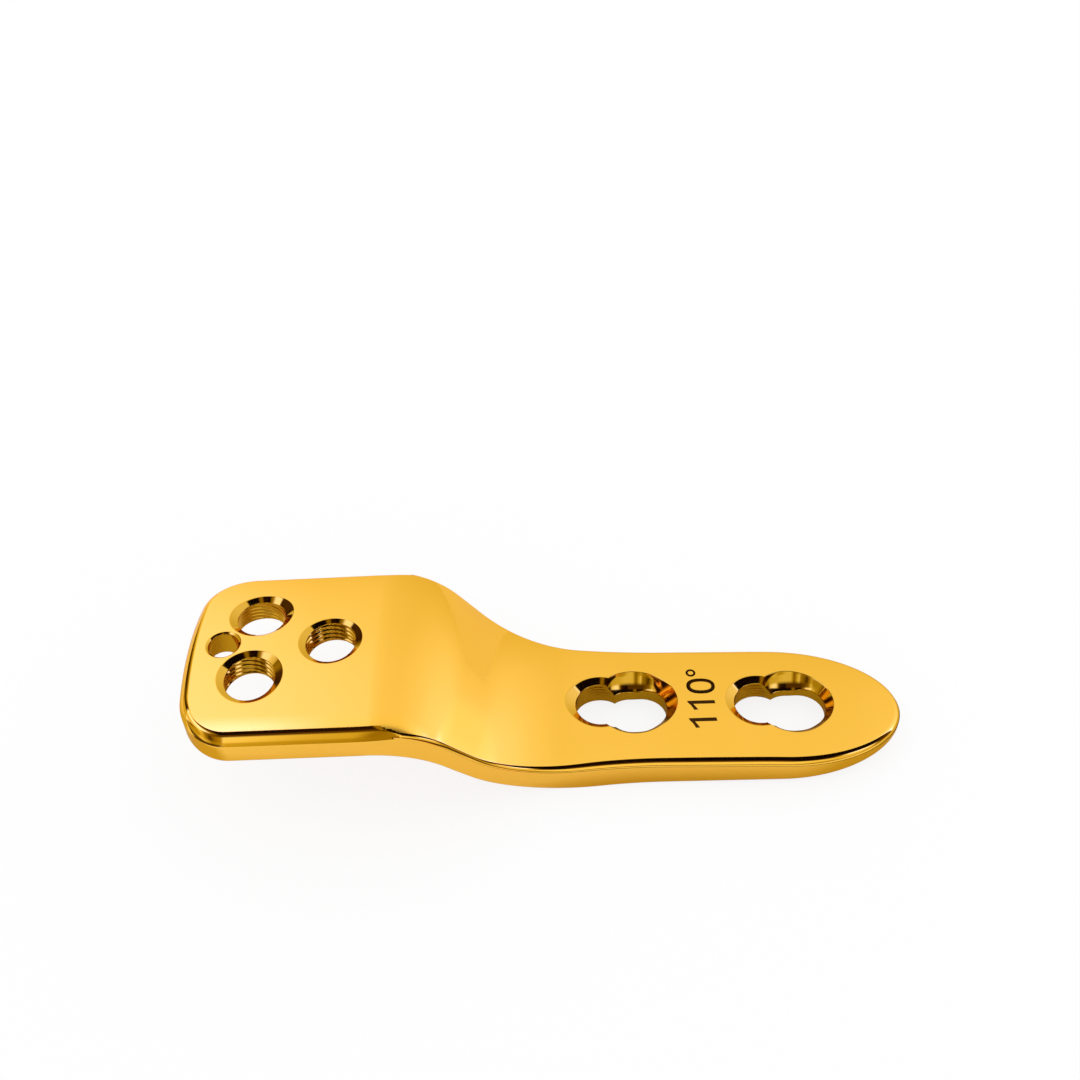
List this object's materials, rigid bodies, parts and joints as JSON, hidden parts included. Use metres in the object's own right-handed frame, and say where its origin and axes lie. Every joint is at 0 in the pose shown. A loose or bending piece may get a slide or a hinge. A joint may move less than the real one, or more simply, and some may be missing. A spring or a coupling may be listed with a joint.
{
  "type": "pediatric hip locking plate",
  "caption": "Stepped and arched bone plate with a wide head of leaning locking holes, a wire hole, and a slim shaft with combination screw holes, polished and gold coloured",
  "frame": {"origin": "on the axis of the lone locking hole in the head, halfway through the head's thickness", "axes": "X runs along the plate from the head to the shaft's tip, Y runs across it and Z points away from the bone"},
  "size_m": [0.0617, 0.0184, 0.0123],
  "materials": {
    "plate": "mirror polished, gold anodised"
  },
  "bodies": {
    "root": {"plate": "plate"}
  },
  "joints": []
}
